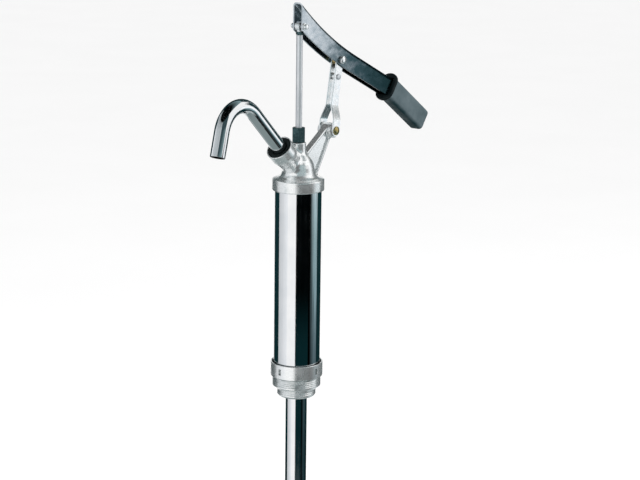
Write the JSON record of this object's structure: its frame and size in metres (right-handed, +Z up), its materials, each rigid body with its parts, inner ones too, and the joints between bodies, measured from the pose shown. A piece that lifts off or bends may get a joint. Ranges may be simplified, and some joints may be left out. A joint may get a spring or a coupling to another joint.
{
  "type": "hand well pump",
  "caption": "Hand lever lift pump: chrome cylinder, cast head with hooked swivelling spout, rocking lever with plastic grip, threaded bung foot and telescopic suction pipe.",
  "frame": {"origin": "centre of the bung seat, on the pump's axis at the underside of the slotted ring", "axes": "+Z up along the cylinder, +X towards the handle, -X towards the spout, XZ is the lever's plane"},
  "size_m": [0.4149, 0.0644, 0.8247],
  "materials": {
    "chrome_tube": "mirror",
    "cast_metal": "satin",
    "plain_steel": "satin",
    "bright_zinc": "bright",
    "yellow_zinc": "satin",
    "dark_nut": "satin",
    "brass_parts": "machined",
    "black_paint": "gloss",
    "grip_plastic": "matte",
    "black_plastic": "satin",
    "black_rubber": "matte"
  },
  "bodies": {
    "pump": {"cylinder_tube": "chrome_tube", "head_gasket": "black_rubber", "foot_gasket": "black_rubber", "bung_ring": "cast_metal", "bung_adaptor": "cast_metal", "foot_valve_cage": "brass_parts", "suction_pipe_outer": "chrome_tube", "pipe_collar_upper": "black_plastic", "pump_head": "cast_metal", "gland_nut": "dark_nut", "gland_packing_lower": "black_rubber", "gland_packing_upper": "black_rubber", "spout_seal": "black_rubber", "pivot_pin": "yellow_zinc", "pivot_clip": "plain_steel"},
    "spout": {"spout_tube": "chrome_tube"},
    "rod": {"piston_rod": "plain_steel", "rod_lock_nut": "dark_nut", "rod_eye": "bright_zinc", "rod_cross_pin": "plain_steel", "piston_body": "brass_parts", "piston_nut": "plain_steel", "piston_cup_seal": "black_rubber", "cup_clamp_ring": "brass_parts", "valve_guide_sleeve": "brass_parts", "valve_stop_washer": "plain_steel"},
    "piston_valve": {"piston_valve_disc": "black_rubber"},
    "foot_valve": {"foot_valve_disc": "black_rubber"},
    "link": {"link_strap_near": "bright_zinc", "link_strap_far": "bright_zinc", "link_rivet": "plain_steel", "link_spacer": "bright_zinc"},
    "lever": {"lever_channel": "black_paint", "fulcrum_pin": "bright_zinc", "fulcrum_bush": "brass_parts", "rod_pin_head_far": "bright_zinc", "rod_pin_head_near": "bright_zinc", "grip_sleeve": "grip_plastic", "grip_collar": "black_plastic"},
    "pipe_middle": {"suction_pipe_middle": "chrome_tube", "pipe_collar_lower": "black_plastic"},
    "pipe_inner": {"suction_pipe_inner": "chrome_tube", "suction_strainer": "black_plastic"}
  },
  "joints": [
    {"name": "link_rock", "type": "hinge", "parent": "pump", "child": "link", "pos_m": [0.0575, 0, 0.298], "axis": [0, -1, 0], "range_deg": [-3.6, 0]},
    {"name": "handle_swing", "type": "hinge", "parent": "link", "child": "lever", "pos_m": [0.0714, 0, 0.3832], "axis": [0, -1, 0], "range_deg": [0, 60.93]},
    {"name": "rod_stroke", "type": "slide", "parent": "pump", "child": "rod", "axis": [0, 0, 1], "range_m": [-0.0822, 0]},
    {"name": "piston_valve_lift", "type": "slide", "parent": "rod", "child": "piston_valve", "axis": [0, 0, 1], "range_m": [0, 0.0042]},
    {"name": "foot_valve_lift", "type": "slide", "parent": "pump", "child": "foot_valve", "axis": [0, 0, 1], "range_m": [0, 0.0055]},
    {"name": "spout_swivel", "type": "hinge", "parent": "pump", "child": "spout", "pos_m": [-0.036, 0, 0.288], "axis": [-0.7071, 0, 0.7071], "range_deg": [-66, 54]},
    {"name": "pipe_middle_slide", "type": "slide", "parent": "pump", "child": "pipe_middle", "axis": [0, 0, -1], "range_m": [0, 0.24]},
    {"name": "pipe_inner_slide", "type": "slide", "parent": "pipe_middle", "child": "pipe_inner", "axis": [0, 0, -1], "range_m": [0, 0.24]}
  ],
  "couplings": [
    {"joint": "link_rock", "follows": "handle_swing", "ratio": -0.058111},
    {"joint": "rod_stroke", "follows": "handle_swing", "m_per_rad": -0.077157}
  ]
}
